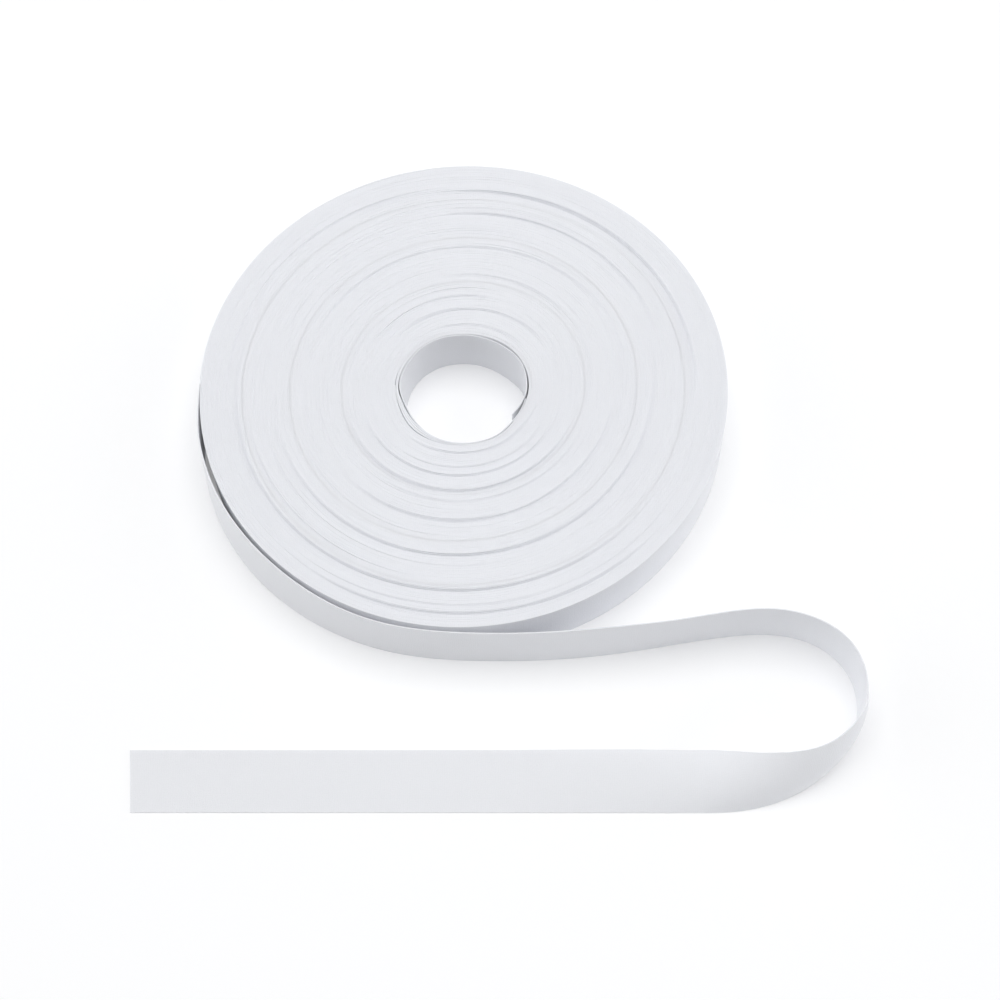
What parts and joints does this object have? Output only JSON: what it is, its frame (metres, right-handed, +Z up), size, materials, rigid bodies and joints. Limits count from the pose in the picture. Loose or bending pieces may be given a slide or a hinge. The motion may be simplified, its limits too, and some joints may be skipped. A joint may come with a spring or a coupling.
{
  "type": "roll of cotton ribbon",
  "caption": "Flat coreless roll of narrow white cotton ribbon lying on its side, its loose outer end running off on edge, turning back and lying flat in front.",
  "frame": {"origin": "middle of the whole part's footprint, on the surface that it lies on", "axes": "+Z up, along the axis of the roll; +X along the length of ribbon that lies flat, away from its cut end; +Y from that length towards the roll"},
  "size_m": [0.1438, 0.1438, 0.0131],
  "materials": {
    "cotton": "matt plain-woven cotton, cool white"
  },
  "bodies": {
    "root": {"roll": "cotton", "loose_end": "cotton"}
  },
  "joints": []
}
